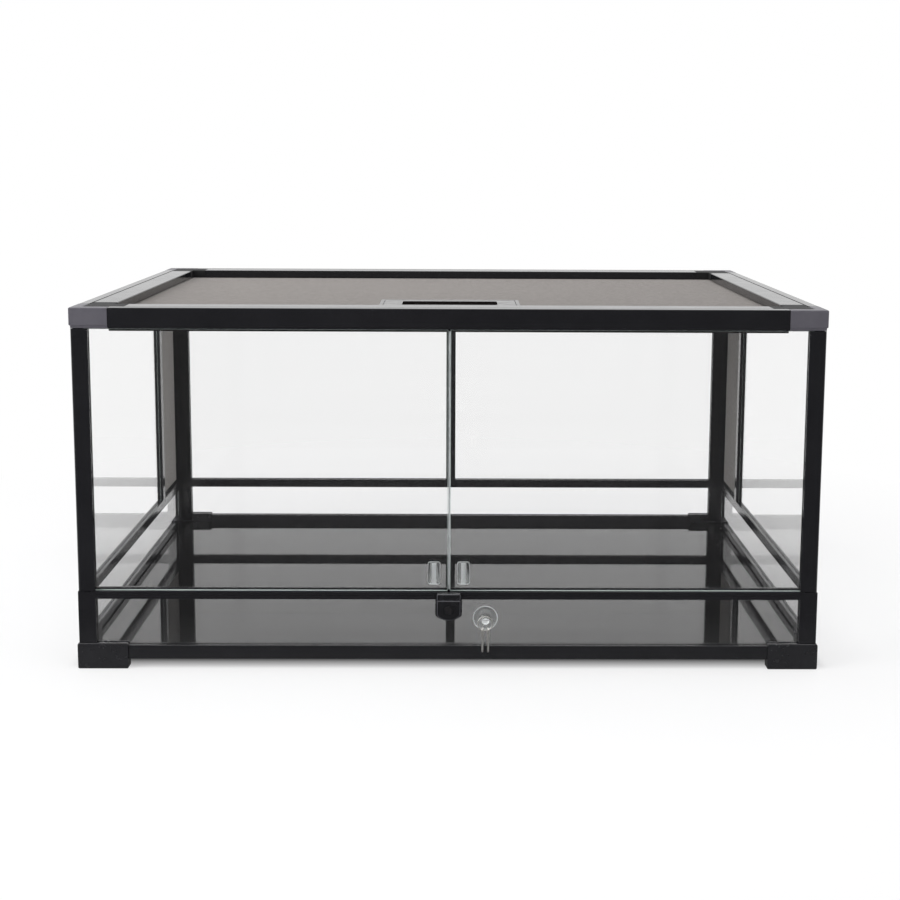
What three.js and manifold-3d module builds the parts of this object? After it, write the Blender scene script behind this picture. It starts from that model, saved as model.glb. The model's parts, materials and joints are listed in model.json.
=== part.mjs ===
// Terrarium cabinet with two hinged glass doors, a lift-out screen lid and a cam lock.
// Millimetres, +Z up, front towards -Y. The origin is the middle of the footprint, on the ground.

import * as THREE from 'three';
import { mergeVertices } from 'three/addons/utils/BufferGeometryUtils.js';
import Module from 'manifold-3d';

const wasm = await Module();
wasm.setup();

// ---------------------------------------------------------------- driving dimensions

// Frame, measured over the metal profiles
const frameWidth = 913;
const frameDepth = 606;
const frameHeight = 450;
const profileThickness = 12.5;
const seatGap = 0.3;

// Panes and the grooves that hold them
const paneThickness = 4;
const paneInset = 4;
const grooveDepth = 5;
const beltGrooveDepth = 4.5;

// Top rails: outer wall, shadow line at the foot, ledge that carries the lid
const topRailHeight = 25;
const topRailLipHeight = 2.4;
const topRailLipStep = 0.8;
const railEdge = 0.8;
const ledgeWidth = 12;
const ledgeThickness = 4;
const doorStopDrop = 4;
const doorStopThickness = 4;

// Corner caps on the top frame
const capLength = 45.5;
const capHeight = 22;
const capProud = 0.6;
const capEdge = 1;

// Feet, which join the bottom rails and carry the posts
const footLength = 60;
const footHeight = 33;
const footProud = 2;
const footEdge = 2.4;
const footEdgeSteps = 3;
const footBlockHeight = 11;
const footBlockProud = 1;

// Posts
const frontPostWidth = 21.5;
const frontPostDepth = 24;
const rearPostWidth = 28;
const rearPostDepth = 24;

// Bottom rails and floor
const bottomRailBase = 12.5;
const floorHeight = 30;
const floorThickness = 5;
const glazingBeadHeight = 11.5;
const floorLedgeWidth = 8;
const floorLedgeThickness = 3;

// Belt rails between the lower and the upper panes; the front one is the door sill
const beltBottom = 89;
const beltHeight = 13;
const sillRebate = 3.6;
const sillRevealHeight = 5.6;
const sillRevealWidth = 1.2;
const sillRevealDepth = 0.8;

// Upright bars in the rear and side walls
const rearBarWidth = 15;
const dividerWidth = 14;
const dividerFromRear = 150;

// Screens
const screenThickness = 1.2;
const wireWidth = 1.4;
const lidScreenColumns = 16;
const lidScreenRows = 9;
const ventScreenColumns = 3;
const ventScreenRows = 8;
const ventRimWidth = 7;

// Doors
const doorGap = 3;
const doorPaneThickness = 5;
const doorClearance = 0.7;
const stileDepth = 10;
const stilePostGap = 0.5;
const stileGroove = 7;
const pinRadius = 1.6;
const pinLength = 5;
const pinClearance = 0.3;

// Door handles
const handleWidth = 15.6;
const handleHeight = 28.4;
const handleBase = 108.5;
const handleFromEdge = 16.6;
const handlePlate = 2.4;
const handleCorner = 3;
const gripWidth = 6;
const gripCorner = 2.4;
const gripProud = 8;
const gripBossRadius = 3.4;
const handleEdge = 0.5;
const gripEdge = 0.8;

// Screen lid
const lidGap = 1.2;
const lidRailWidth = 30;
const lidCornerLength = 49;
const screenRecess = 12.4;
const screenGrip = 6;

// Feeding hatch in the lid
const hatchWidth = 176;
const hatchDepth = 74;
const hatchWall = 5;
const hatchCorner = 3;
const hatchEdge = 0.6;
const hatchHeight = 15;
const hatchTopDrop = 0.8;
const hatchFlange = 4;
const hatchFlangeThickness = 2;
const hatchGap = 0.6;
const hatchDoorThickness = 3;
const trayWidth = 122;
const trayDepth = 46;
const trayDrop = 9;
const trayWall = 1.6;
const trayCorner = 4.5;
const trayFromFront = 3;
const traySink = 0.5;
const scoopRadius = 9;
const hatchPinRadius = 1.5;

// Cam lock under the doors
const lockWidth = 33;
const lockTop = 90;
const lockBottom = 63;
const lockProud = 9;
const lockEdge = 0.9;
const lockBulge = 7;
const lockFlange = 2;
const lockFlangeThickness = 3.2;
const boltTravel = 6;
const boltGap = 0.3;
const boltCorner = 1.4;
const boltEdge = 0.8;
const boltStemWidth = 16;
const boltStemThickness = 2.4;
const boltStemLength = 19;
const boltStemInset = 1.2;
const boltStemRoot = 2;
const boltSlotWidth = 6;
const plugHeight = 78;
const plugRadius = 5;
const plugRim = 0.8;
const plugLength = 5;
const crankPinRadius = 0.9;
const crankPinLength = 2.2;
const keyholeWidth = 1.4;
const keyholeLength = 5.4;
const keyholeDepth = 2.6;

// Suction cup on the lower front pane, with the spare keys
const cupOffset = 45.4;
const cupHeight = 64.6;
// From the middle of the cup's hollow, over its lip, to its crown: radius, distance forward
const cupProfile = [[0, 2.8], [8.5, 2.2], [14.6, 0], [15.4, 0.5], [14.8, 1.6], [9.2, 3.4], [4.9, 5.5]];
const cupNeckRadius = 3;
const cupKnobRadius = 5;
const cupKnobThickness = 3;
const cupKnobEdge = 0.8;
const cupNeckLength = 4.6;
const ringRadius = 9;
const ringWire = 0.7;
const keyLength = 31;
const keyBowWidth = 9;
const keyBowHeight = 10;
const keyBowCorner = 2.6;
const keyThickness = 1.8;
const keyHoleRadius = 2.1;
const keyHoleRim = 1.2;
const keyBladeWidth = 4.6;
const keyTipLength = 2;
const keyBites = [0.7, 1.7, 1.2, 0.7, 1.7];
const keyBiteStart = 3;
const keyBiteRoot = 2;
const keySpread = 3.3;
const keyTurn = 0.2;

// ---------------------------------------------------------------- derived places

const overshoot = 1; // how far a cutter runs past the face it opens
const hair = 0.01; // keeps neighbouring points of an outline apart
const halfWidth = frameWidth / 2;
const halfDepth = frameDepth / 2;
const paneFace = paneInset + paneThickness;
const grooveOuter = paneInset - seatGap;
const grooveInner = paneFace + seatGap;
const topRailBase = frameHeight - topRailHeight;
const ledgeTop = topRailBase + ledgeThickness;
const capBase = frameHeight - capHeight;
const beltTop = beltBottom + beltHeight;
const sillTop = beltTop - sillRebate;
const glazingTop = floorHeight + glazingBeadHeight;
const doorBase = sillTop + doorClearance;
const doorTop = topRailBase - doorClearance;
const hingeInset = stileDepth / 2;
const lidOuter = profileThickness + lidGap;
const lidInner = lidOuter + lidRailWidth;
const lidBase = ledgeTop + seatGap;
const screenLevel = frameHeight - screenRecess;
const cupCrown = cupProfile.at(-1)[1];
const cupNeckFront = paneInset - seatGap - cupCrown - cupNeckLength;
const ringPlane = cupNeckFront + cupNeckLength / 2;
const frontReach = Math.max(cupKnobThickness - cupNeckFront, lockProud + plugRim);
const depthShift = (frontReach - footProud) / 2;

// ---------------------------------------------------------------- materials

function finish(color, roughness, metalness, opacity = 1) {
  return new THREE.MeshStandardMaterial({
    color, roughness, metalness, opacity, transparent: opacity < 1,
  });
}

const coatedAluminium = () => finish(0x1c1b1c, 0.32, 0.2);
const capPlastic = () => finish(0x4f4e54, 0.55, 0);
const footPlastic = () => finish(0x242427, 0.5, 0);
const floatGlass = () => finish(0xe4efec, 0.03, 0, 0.16);
const glossBlackPanel = () => finish(0x0b0b0c, 0.06, 0);
const screenWire = () => finish(0x5d5a58, 0.5, 0.6);
const clearPlastic = () => finish(0xdfe9ea, 0.08, 0, 0.45);
const hatchPlastic = () => finish(0x232225, 0.45, 0);
const nickel = () => finish(0xc9c9c6, 0.22, 1);

// ---------------------------------------------------------------- solids

function toSolid(geometry) {
  const bare = geometry.clone();
  bare.deleteAttribute('normal');
  bare.deleteAttribute('uv');
  const merged = mergeVertices(bare, 1e-4);
  return new wasm.Manifold(new wasm.Mesh({
    numProp: 3,
    vertProperties: new Float32Array(merged.attributes.position.array),
    triVerts: new Uint32Array(merged.index.array),
  }));
}

function toGeometry(solid) {
  const mesh = solid.getMesh();
  const indexed = new THREE.BufferGeometry();
  indexed.setAttribute('position', new THREE.BufferAttribute(mesh.vertProperties, 3));
  indexed.setIndex(new THREE.BufferAttribute(mesh.triVerts, 1));
  const geometry = indexed.toNonIndexed();
  geometry.computeVertexNormals();
  return geometry;
}

function join(...geometries) {
  return toGeometry(geometries.map(toSolid).reduce((whole, piece) => whole.add(piece)));
}

function cut(geometry, ...tools) {
  return toGeometry(tools.map(toSolid).reduce((rest, tool) => rest.subtract(tool), toSolid(geometry)));
}

// A box between two opposite corners.
function block([x0, y0, z0], [x1, y1, z1]) {
  const box = new THREE.BoxGeometry(Math.abs(x1 - x0), Math.abs(y1 - y0), Math.abs(z1 - z0));
  return box.translate((x0 + x1) / 2, (y0 + y1) / 2, (z0 + z1) / 2);
}

// A closed outline in the plane across the axis, drawn out from one end to the other. The outline's
// two values are y and z across X, x and z across Y, and x and y across Z.
const drawAxes = {
  x: (shape) => new THREE.Matrix4().set(0, 0, 1, shape.from, 1, 0, 0, 0, 0, 1, 0, 0, 0, 0, 0, 1),
  y: (shape) => new THREE.Matrix4().set(1, 0, 0, 0, 0, 0, -1, shape.to, 0, 1, 0, 0, 0, 0, 0, 1),
  z: (shape) => new THREE.Matrix4().makeTranslation(0, 0, shape.from),
};

function draw(axis, outline, end0, end1, options = {}) {
  const from = Math.min(end0, end1);
  const to = Math.max(end0, end1);
  const shape = outline instanceof THREE.Shape
    ? outline
    : new THREE.Shape(outline.map(([u, v]) => new THREE.Vector2(u, v)));
  const edge = options.edge ?? 0;
  const geometry = new THREE.ExtrudeGeometry(shape, {
    depth: to - from - 2 * edge,
    bevelEnabled: edge > 0,
    bevelSize: edge,
    bevelThickness: edge,
    bevelOffset: -edge,
    bevelSegments: options.edgeSteps ?? 1,
    curveSegments: options.curveSteps ?? 6,
  });
  geometry.translate(0, 0, edge);
  return geometry.applyMatrix4(drawAxes[axis]({ from, to }));
}

// Points round a circle, one for each side.
function circle([a, b], radius, sides) {
  return Array.from({ length: sides }, (_, step) => {
    const turn = (2 * Math.PI * step) / sides;
    return [a + radius * Math.cos(turn), b + radius * Math.sin(turn)];
  });
}

// A pin, boss or bore: a cylinder along one axis.
function rod(axis, centre, radius, end0, end1, sides = 20) {
  return draw(axis, circle(centre, radius, sides), end0, end1);
}

// A rectangle with round corners, centred on a point.
function roundedRectangle(cx, cy, width, height, radius) {
  const x = width / 2 - radius;
  const y = height / 2 - radius;
  const shape = new THREE.Shape();
  shape.absarc(cx + x, cy - y, radius, -Math.PI / 2, 0);
  shape.absarc(cx + x, cy + y, radius, 0, Math.PI / 2);
  shape.absarc(cx - x, cy + y, radius, Math.PI / 2, Math.PI);
  shape.absarc(cx - x, cy - y, radius, Math.PI, 1.5 * Math.PI);
  return shape;
}

// Depths inside each wall are measured inwards from its outer face.
const walls = {
  front: { axis: 'x', across: (inward) => inward - halfDepth },
  rear: { axis: 'x', across: (inward) => halfDepth - inward },
  left: { axis: 'y', across: (inward) => inward - halfWidth },
  right: { axis: 'y', across: (inward) => halfWidth - inward },
};

function wallBar(wall, profile, end0, end1) {
  const { axis, across } = walls[wall];
  return draw(axis, profile.map(([inward, up]) => [across(inward), up]), end0, end1);
}

function wallPane(wall, end0, end1, bottom, top) {
  return wallBar(wall, rectangle(paneInset, bottom, paneFace, top), end0, end1);
}

function rectangle(u0, v0, u1, v1) {
  return [[u0, v0], [u1, v0], [u1, v1], [u0, v1]];
}

// Corners are named by the signs of x and y; their plans are drawn from the outer corner inwards.
const corners = {
  front_left: { sideX: -1, sideY: -1 },
  front_right: { sideX: 1, sideY: -1 },
  rear_left: { sideX: -1, sideY: 1 },
  rear_right: { sideX: 1, sideY: 1 },
};

function cornerPoint({ sideX, sideY }, [inX, inY]) {
  return [sideX * (halfWidth - inX), sideY * (halfDepth - inY)];
}

function cornerColumn(corner, plan, bottom, top, options) {
  return draw('z', plan.map((point) => cornerPoint(corner, point)), bottom, top, options);
}

// An L in plan: two arms of equal length whose walls lie between two depths.
function angle(outer, inner, length) {
  return [
    [outer, outer], [length, outer], [length, inner], [inner, inner], [inner, length], [outer, length],
  ];
}

const cabinet = new THREE.Group();
cabinet.position.y = depthShift;

function add(name, geometry, material) {
  const mesh = new THREE.Mesh(geometry, material);
  mesh.name = name;
  cabinet.add(mesh);
}

// ---------------------------------------------------------------- feet and corner caps

function footGeometry(corner) {
  const base = cornerColumn(
    corner, angle(-footProud, profileThickness, footLength), 0, footHeight,
    { edge: footEdge, edgeSteps: footEdgeSteps },
  );
  const blockInner = profileThickness + footBlockProud;
  const blockTop = footHeight + footBlockHeight;
  const blockBase = footHeight - 2 * footEdge;
  const sideStart = corner.sideY > 0 ? rearPostDepth : frontPostDepth;
  const sideBlock = rectangle(railEdge, sideStart, blockInner, footLength);
  const solids = [base, cornerColumn(corner, sideBlock, blockBase, blockTop)];
  if (corner.sideY > 0) {
    const rearBlock = rectangle(rearPostWidth, railEdge, footLength, blockInner);
    solids.push(cornerColumn(corner, rearBlock, blockBase, blockTop));
  }
  const frontSlotBase = corner.sideY > 0 ? glazingTop - grooveDepth : floorHeight - grooveDepth;
  const slotStart = (corner.sideY > 0 ? rearPostWidth : frontPostWidth) - grooveDepth;
  const slotTop = blockTop + overshoot;
  const frontSlot = rectangle(slotStart, grooveOuter, footLength + overshoot, grooveInner);
  return cut(
    join(...solids),
    cornerColumn(corner, sideSlot(corner), glazingTop - grooveDepth, slotTop),
    cornerColumn(corner, frontSlot, frontSlotBase, slotTop),
  );
}

// The plan of the slot that takes a side pane, from the post outwards.
function sideSlot({ sideY }) {
  const start = (sideY > 0 ? rearPostDepth : frontPostDepth) - grooveDepth;
  return rectangle(grooveOuter, start, grooveInner, footLength + overshoot);
}

function capGeometry(corner) {
  const shell = cornerColumn(
    corner, angle(-capProud, profileThickness, capLength), capBase, frameHeight, { edge: capEdge },
  );
  const foot = cornerColumn(
    corner, angle(topRailLipStep, profileThickness + ledgeWidth, capLength), topRailBase, ledgeTop,
  );
  const whole = join(shell, foot);
  if (corner.sideY > 0) return cutPaneSlots(whole, corner);
  const hinge = cornerPoint(corner, [hingeInset, hingeInset]);
  const holeTop = topRailBase + pinLength + pinClearance;
  const pinHole = rod('z', hinge, pinRadius + pinClearance, topRailBase - overshoot, holeTop);
  return cutPaneSlots(cut(whole, pinHole), corner);
}

// Slots that take the top edges of the panes next to a corner.
function cutPaneSlots(geometry, corner) {
  const slotBase = topRailBase - overshoot;
  const slotTop = topRailBase + grooveDepth;
  const tools = [cornerColumn(corner, sideSlot(corner), slotBase, slotTop)];
  if (corner.sideY > 0) {
    const slotStart = rearPostWidth - grooveDepth;
    const rearSlot = rectangle(slotStart, grooveOuter, capLength + overshoot, grooveInner);
    tools.push(cornerColumn(corner, rearSlot, slotBase, slotTop));
  }
  return cut(geometry, ...tools);
}

// ---------------------------------------------------------------- posts

// The plan of a front post where its side arm takes the side panes.
const frontPostSide = [
  [profileThickness, frontPostDepth],
  [grooveInner, frontPostDepth],
  [grooveInner, frontPostDepth - grooveDepth],
  [grooveOuter, frontPostDepth - grooveDepth],
  [grooveOuter, frontPostDepth],
  [0, frontPostDepth],
];

// The front post is in two lengths that meet level with the top of the sill.
function lowerFrontPostGeometry(corner) {
  const inner = frontPostWidth;
  const glassEnd = inner - grooveDepth;
  const post = cornerColumn(corner, [
    [0, 0], [inner, 0],
    [inner, grooveOuter], [glassEnd, grooveOuter], [glassEnd, grooveInner], [inner, grooveInner],
    [inner, profileThickness], [profileThickness, profileThickness],
    ...frontPostSide,
  ], footHeight, sillTop);
  const hinge = cornerPoint(corner, [hingeInset, hingeInset]);
  const holeBase = sillTop - pinLength - pinClearance;
  const pinHole = rod('z', hinge, pinRadius + pinClearance, holeBase, sillTop + overshoot);
  return cut(post, pinHole);
}

function upperFrontPostGeometry(corner) {
  const front = stileDepth + stilePostGap;
  const plan = [[0, front], [profileThickness, front], ...frontPostSide];
  return cornerColumn(corner, plan, sillTop + seatGap, topRailBase);
}

function rearPostGeometry(corner) {
  const width = rearPostWidth;
  const depth = rearPostDepth;
  const rearSlotEnd = width - grooveDepth;
  const sideSlotEnd = depth - grooveDepth;
  return cornerColumn(corner, [
    [0, 0], [width, 0],
    [width, grooveOuter], [rearSlotEnd, grooveOuter], [rearSlotEnd, grooveInner], [width, grooveInner],
    [width, profileThickness], [profileThickness, profileThickness],
    [profileThickness, depth], [grooveInner, depth],
    [grooveInner, sideSlotEnd], [grooveOuter, sideSlotEnd], [grooveOuter, depth], [0, depth],
  ], footHeight, topRailBase);
}

for (const [name, corner] of Object.entries(corners)) {
  add(`foot_${name}`, footGeometry(corner), footPlastic());
  add(`top_cap_${name}`, capGeometry(corner), capPlastic());
  if (corner.sideY < 0) add(`lower_post_${name}`, lowerFrontPostGeometry(corner), coatedAluminium());
  const post = corner.sideY < 0 ? upperFrontPostGeometry(corner) : rearPostGeometry(corner);
  add(`post_${name}`, post, coatedAluminium());
}

// ---------------------------------------------------------------- rails

const topRailOuter = [
  [topRailLipStep, topRailBase],
  [topRailLipStep, topRailBase + topRailLipHeight],
  [0, topRailBase + topRailLipHeight],
  [0, frameHeight - railEdge],
  [railEdge, frameHeight],
  [profileThickness, frameHeight],
  [profileThickness, ledgeTop],
  [profileThickness + ledgeWidth, ledgeTop],
  [profileThickness + ledgeWidth, topRailBase],
];

const glazedTopRail = [
  ...topRailOuter,
  [grooveInner, topRailBase],
  [grooveInner, topRailBase + grooveDepth],
  [grooveOuter, topRailBase + grooveDepth],
  [grooveOuter, topRailBase],
];

const doorHead = [
  ...topRailOuter,
  [profileThickness, topRailBase],
  [profileThickness, topRailBase - doorStopDrop],
  [profileThickness - doorStopThickness, topRailBase - doorStopDrop],
  [profileThickness - doorStopThickness, topRailBase],
];

function bottomRail(top) {
  const ledgeHeight = floorHeight - floorThickness;
  return [
    [0, bottomRailBase], [profileThickness, bottomRailBase],
    [profileThickness, ledgeHeight - floorLedgeThickness],
    [profileThickness + floorLedgeWidth, ledgeHeight - floorLedgeThickness],
    [profileThickness + floorLedgeWidth, ledgeHeight], [profileThickness, ledgeHeight],
    [profileThickness, top], [grooveInner, top],
    [grooveInner, top - grooveDepth], [grooveOuter, top - grooveDepth], [grooveOuter, top],
    [railEdge, top], [0, top - railEdge],
  ];
}

const beltFoot = [
  [0, beltBottom], [grooveOuter, beltBottom],
  [grooveOuter, beltBottom + beltGrooveDepth], [grooveInner, beltBottom + beltGrooveDepth],
  [grooveInner, beltBottom], [profileThickness, beltBottom], [profileThickness, beltTop],
];

const belt = [
  ...beltFoot,
  [grooveInner, beltTop], [grooveInner, beltTop - beltGrooveDepth],
  [grooveOuter, beltTop - beltGrooveDepth], [grooveOuter, beltTop], [0, beltTop],
];

const sillReveal = beltBottom + sillRevealHeight;
const doorSill = [
  ...beltFoot,
  [profileThickness - doorStopThickness, beltTop],
  [profileThickness - doorStopThickness, sillTop],
  [0, sillTop],
  [0, sillReveal], [sillRevealDepth, sillReveal],
  [sillRevealDepth, sillReveal - sillRevealWidth], [0, sillReveal - sillRevealWidth],
];

const capEndX = halfWidth - capLength;
const capEndY = halfDepth - capLength;
const footEndX = halfWidth - footLength;
const footEndY = halfDepth - footLength;
const sillEndX = halfWidth - frontPostWidth;
const rearPostX = halfWidth - rearPostWidth;
const frontPostY = frontPostDepth - halfDepth;
const rearPostY = halfDepth - rearPostDepth;

add('top_rail_front', wallBar('front', doorHead, -capEndX, capEndX), coatedAluminium());
add('top_rail_rear', wallBar('rear', glazedTopRail, -capEndX, capEndX), coatedAluminium());
add('bottom_rail_front', wallBar('front', bottomRail(floorHeight), -footEndX, footEndX), coatedAluminium());
add('bottom_rail_rear', wallBar('rear', bottomRail(glazingTop), -footEndX, footEndX), coatedAluminium());
add('door_sill', wallBar('front', doorSill, -sillEndX, sillEndX), coatedAluminium());
add('belt_rail_rear', wallBar('rear', belt, -rearPostX, rearPostX), coatedAluminium());

for (const side of ['left', 'right']) {
  add(`top_rail_${side}`, wallBar(side, glazedTopRail, -capEndY, capEndY), coatedAluminium());
  add(`bottom_rail_${side}`, wallBar(side, bottomRail(glazingTop), -footEndY, footEndY), coatedAluminium());
  add(`belt_rail_${side}`, wallBar(side, belt, frontPostY, rearPostY), coatedAluminium());
}

// ---------------------------------------------------------------- upright bars

// An upright with a pane groove in each edge, centred on a place along its wall.
function uprightGeometry(wall, centre, width) {
  const { axis, across } = walls[wall];
  const half = width / 2;
  const web = half - beltGrooveDepth;
  const plan = [
    [-half, 0], [half, 0], [half, grooveOuter], [web, grooveOuter], [web, grooveInner], [half, grooveInner],
    [half, profileThickness], [-half, profileThickness],
    [-half, grooveInner], [-web, grooveInner], [-web, grooveOuter], [-half, grooveOuter],
  ];
  const place = ([along, inward]) => (
    axis === 'x' ? [centre + along, across(inward)] : [across(inward), centre + along]
  );
  return draw('z', plan.map(place), beltTop, topRailBase);
}

const dividerY = halfDepth - dividerFromRear;
add('rear_centre_bar', uprightGeometry('rear', 0, rearBarWidth), coatedAluminium());
for (const side of ['left', 'right']) {
  add(`vent_divider_${side}`, uprightGeometry(side, dividerY, dividerWidth), coatedAluminium());
}

// ---------------------------------------------------------------- fixed panes and floor

const lowerPaneBase = glazingTop - grooveDepth + seatGap;
const lowerPaneTop = beltBottom + beltGrooveDepth - seatGap;
const upperPaneBase = beltTop - beltGrooveDepth + seatGap;
const upperPaneTop = topRailBase + grooveDepth - seatGap;
const insideGroove = grooveDepth - seatGap;
const barReach = rearBarWidth / 2 - beltGrooveDepth + seatGap;
const dividerReach = dividerWidth / 2 - beltGrooveDepth + seatGap;
const sidePaneFront = frontPostY - insideGroove;
const sidePaneRear = rearPostY + insideGroove;
const rearPaneEnd = rearPostX + insideGroove;
const frontPaneEnd = sillEndX + insideGroove;
const frontPaneBase = floorHeight - grooveDepth + seatGap;

const fixedPanes = {
  lower_glass_front: wallPane('front', -frontPaneEnd, frontPaneEnd, frontPaneBase, lowerPaneTop),
  lower_glass_rear: wallPane('rear', -rearPaneEnd, rearPaneEnd, lowerPaneBase, lowerPaneTop),
  rear_glass_left: wallPane('rear', -rearPaneEnd, -barReach, upperPaneBase, upperPaneTop),
  rear_glass_right: wallPane('rear', barReach, rearPaneEnd, upperPaneBase, upperPaneTop),
};
Object.entries(fixedPanes).forEach(([name, pane]) => add(name, pane, floatGlass()));

const floorEndX = halfWidth - profileThickness - footBlockProud - seatGap;
const floorEndY = halfDepth - profileThickness - footBlockProud - seatGap;
const floorPlan = rectangle(-floorEndX, seatGap + profileThickness - halfDepth, floorEndX, floorEndY);
add('floor_panel', draw('z', floorPlan, floorHeight - floorThickness, floorHeight), glossBlackPanel());

// ---------------------------------------------------------------- screens

// A solid made of the filled cells of a grid. The lines are places in the two directions of the
// plane across the axis, and then along the axis.
const cellSteps = [[1, 0, 0], [-1, 0, 0], [0, 1, 0], [0, -1, 0], [0, 0, 1], [0, 0, -1]];

function latticeGeometry(axis, lines, isFilled) {
  const counts = lines.map((line) => line.length - 1);
  const filled = (cell) => cell.every((step, k) => step >= 0 && step < counts[k]) && isFilled(...cell);
  const place = (corner) => {
    const [u, v, w] = corner.map((step, k) => lines[k][step]);
    return axis === 'x' ? [w, u, v] : [u, v, w];
  };
  const positions = [];
  const addFace = (cell, step) => {
    const k = step.findIndex((value) => value !== 0);
    const side = cell.map((value, n) => value + (n === k && step[k] > 0 ? 1 : 0));
    const shift = (amountA, amountB) => side.map((value, n) => {
      if (n === (k + 1) % 3) return value + amountA;
      return n === (k + 2) % 3 ? value + amountB : value;
    });
    const ring = [shift(0, 0), shift(1, 0), shift(1, 1), shift(0, 1)].map(place);
    const [a, b, c, d] = step[k] > 0 ? ring : ring.reverse();
    positions.push(...a, ...b, ...c, ...a, ...c, ...d);
  };
  for (let i = 0; i < counts[0]; i += 1) {
    for (let j = 0; j < counts[1]; j += 1) {
      for (let k = 0; k < counts[2]; k += 1) {
        const cell = [i, j, k];
        if (!filled(cell)) continue;
        const open = cellSteps.filter((step) => !filled(cell.map((value, n) => value + step[n])));
        open.forEach((step) => addFace(cell, step));
      }
    }
  }
  const geometry = new THREE.BufferGeometry();
  geometry.setAttribute('position', new THREE.Float32BufferAttribute(positions, 3));
  geometry.computeVertexNormals();
  return geometry;
}

// One direction of a net: the rims and wires as intervals, and all their edges as sorted lines.
function netDirection(low, high, count, rim, extraLines = []) {
  const pitch = (high - low - 2 * rim) / count;
  const strips = [[low, low + rim], [high - rim, high]];
  for (let wire = 1; wire < count; wire += 1) {
    const centre = low + rim + wire * pitch;
    strips.push([centre - wireWidth / 2, centre + wireWidth / 2]);
  }
  const lines = [...strips.flat(), ...extraLines].sort((a, b) => a - b);
  const middle = (step) => (lines[step] + lines[step + 1]) / 2;
  const inside = ([from, to], step) => middle(step) > from && middle(step) < to;
  return {
    lines,
    inRim: (step) => strips.slice(0, 2).some((strip) => inside(strip, step)),
    inWire: (step) => strips.some((strip) => inside(strip, step)),
    inExtra: (step) => extraLines.length > 0 && inside(extraLines, step),
  };
}

// A side vent: the net inside a rim as thick as a pane.
function ventGeometry(side) {
  const along = netDirection(dividerY + dividerReach, sidePaneRear, ventScreenColumns, ventRimWidth);
  const up = netDirection(upperPaneBase, upperPaneTop, ventScreenRows, ventRimWidth);
  const netInset = paneInset + (paneThickness - screenThickness) / 2;
  const depths = [paneInset, netInset, netInset + screenThickness, paneFace];
  const across = depths.map(walls[side].across).sort((a, b) => a - b);
  const netLayer = 1;
  return latticeGeometry('x', [along.lines, up.lines, across], (i, j, k) => (
    along.inRim(i) || up.inRim(j) || (k === netLayer && (along.inWire(i) || up.inWire(j)))
  ));
}

for (const side of ['left', 'right']) {
  const lower = wallPane(side, sidePaneFront, sidePaneRear, lowerPaneBase, lowerPaneTop);
  const upper = wallPane(side, sidePaneFront, dividerY - dividerReach, upperPaneBase, upperPaneTop);
  add(`lower_glass_${side}`, lower, floatGlass());
  add(`upper_glass_${side}`, upper, floatGlass());
  add(`vent_screen_${side}`, ventGeometry(side), screenWire());
}

// ---------------------------------------------------------------- doors

const hingeX = halfWidth - hingeInset;
const hingeY = hingeInset - halfDepth;

// The hinge stile: round about its pins on the outer edge, slotted for the pane on the inner edge.
function stileGeometry(side) {
  const inner = side * (halfWidth - frontPostWidth);
  const slotEnd = inner + side * stileGroove;
  const slotHalf = doorPaneThickness / 2 + seatGap;
  const shape = new THREE.Shape();
  shape.absarc(side * hingeX, hingeY, hingeInset, Math.PI / 2, -Math.PI / 2, side > 0);
  shape.lineTo(inner, hingeY - hingeInset);
  shape.lineTo(inner, hingeY - slotHalf);
  shape.lineTo(slotEnd, hingeY - slotHalf);
  shape.lineTo(slotEnd, hingeY + slotHalf);
  shape.lineTo(inner, hingeY + slotHalf);
  shape.lineTo(inner, hingeY + hingeInset);
  const body = draw('z', shape, doorBase, doorTop, { curveSteps: 12 });
  const axis = [side * hingeX, hingeY];
  const lowerPin = rod('z', axis, pinRadius, sillTop - pinLength, doorBase + overshoot);
  const upperPin = rod('z', axis, pinRadius, doorTop - overshoot, topRailBase + pinLength);
  return join(body, lowerPin, upperPin);
}

function doorPaneGeometry(side) {
  const outer = side * (halfWidth - frontPostWidth + stileGroove - seatGap);
  const half = doorPaneThickness / 2;
  return block([outer, hingeY - half, doorBase], [side * doorGap / 2, hingeY + half, doorTop]);
}

// A clear pull: a rounded plate with a raised grip that ends in a small boss.
function handleGeometry(side) {
  const centreX = side * (doorGap / 2 + handleFromEdge);
  const centreZ = handleBase + handleHeight / 2;
  const seat = hingeY - doorPaneThickness / 2 - seatGap;
  const plate = draw(
    'y', roundedRectangle(centreX, centreZ, handleWidth, handleHeight, handleCorner),
    seat - handlePlate, seat, { edge: handleEdge, curveSteps: 4 },
  );
  const grip = draw(
    'y', roundedRectangle(centreX, centreZ, gripWidth, handleHeight - handleCorner, gripCorner),
    seat - gripProud, seat - handlePlate / 2, { edge: gripEdge, curveSteps: 5 },
  );
  const bossZ = handleBase + gripBossRadius + handleCorner / 2;
  const bossFront = seat - gripProud + gripEdge;
  const boss = rod('y', [centreX, bossZ], gripBossRadius, bossFront, seat - handlePlate / 2, 16);
  return join(plate, grip, boss);
}

for (const [name, side] of [['left', -1], ['right', 1]]) {
  add(`door_stile_${name}`, stileGeometry(side), coatedAluminium());
  add(`door_glass_${name}`, doorPaneGeometry(side), floatGlass());
  add(`door_handle_${name}`, handleGeometry(side), clearPlastic());
}

// ---------------------------------------------------------------- screen lid

const screenLow = screenLevel - screenThickness / 2 - seatGap;
const screenHigh = screenLevel + screenThickness / 2 + seatGap;
const lidRail = [
  [lidOuter, lidBase], [lidInner, lidBase],
  [lidInner, screenLow], [lidInner - screenGrip, screenLow],
  [lidInner - screenGrip, screenHigh], [lidInner, screenHigh],
  [lidInner, frameHeight - railEdge], [lidInner - railEdge, frameHeight],
  [lidOuter + railEdge, frameHeight], [lidOuter, frameHeight - railEdge],
];

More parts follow.
